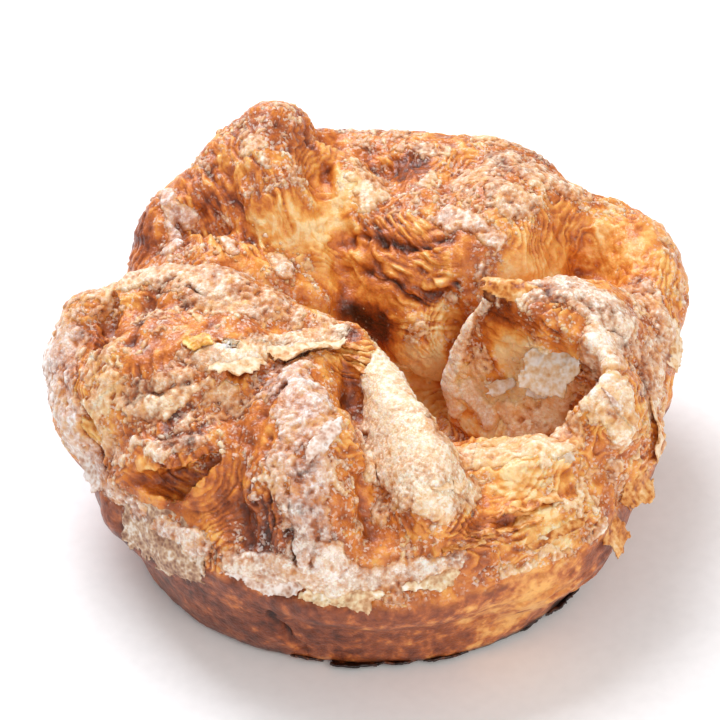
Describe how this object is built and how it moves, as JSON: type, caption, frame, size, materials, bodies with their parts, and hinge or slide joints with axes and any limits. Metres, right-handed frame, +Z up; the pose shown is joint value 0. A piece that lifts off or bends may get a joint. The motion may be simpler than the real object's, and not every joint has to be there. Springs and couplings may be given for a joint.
{
  "type": "kouign amann pastry",
  "caption": "Round laminated pastry baked in a mould, with puffed folds that lean in round a deep hollow and a flat underside to stand on.",
  "frame": {"origin": "middle of the box's floor, on the flat underside", "axes": "+Z up; -Y is the side with the low rim, and +X is on the right when it is seen from there"},
  "size_m": [0.0942, 0.0898, 0.0452],
  "materials": {
    "baked_dough": "baked laminated dough, amber to brown, with a crust of caramelised sugar"
  },
  "bodies": {
    "root": {"pastry": "baked_dough"}
  },
  "joints": []
}
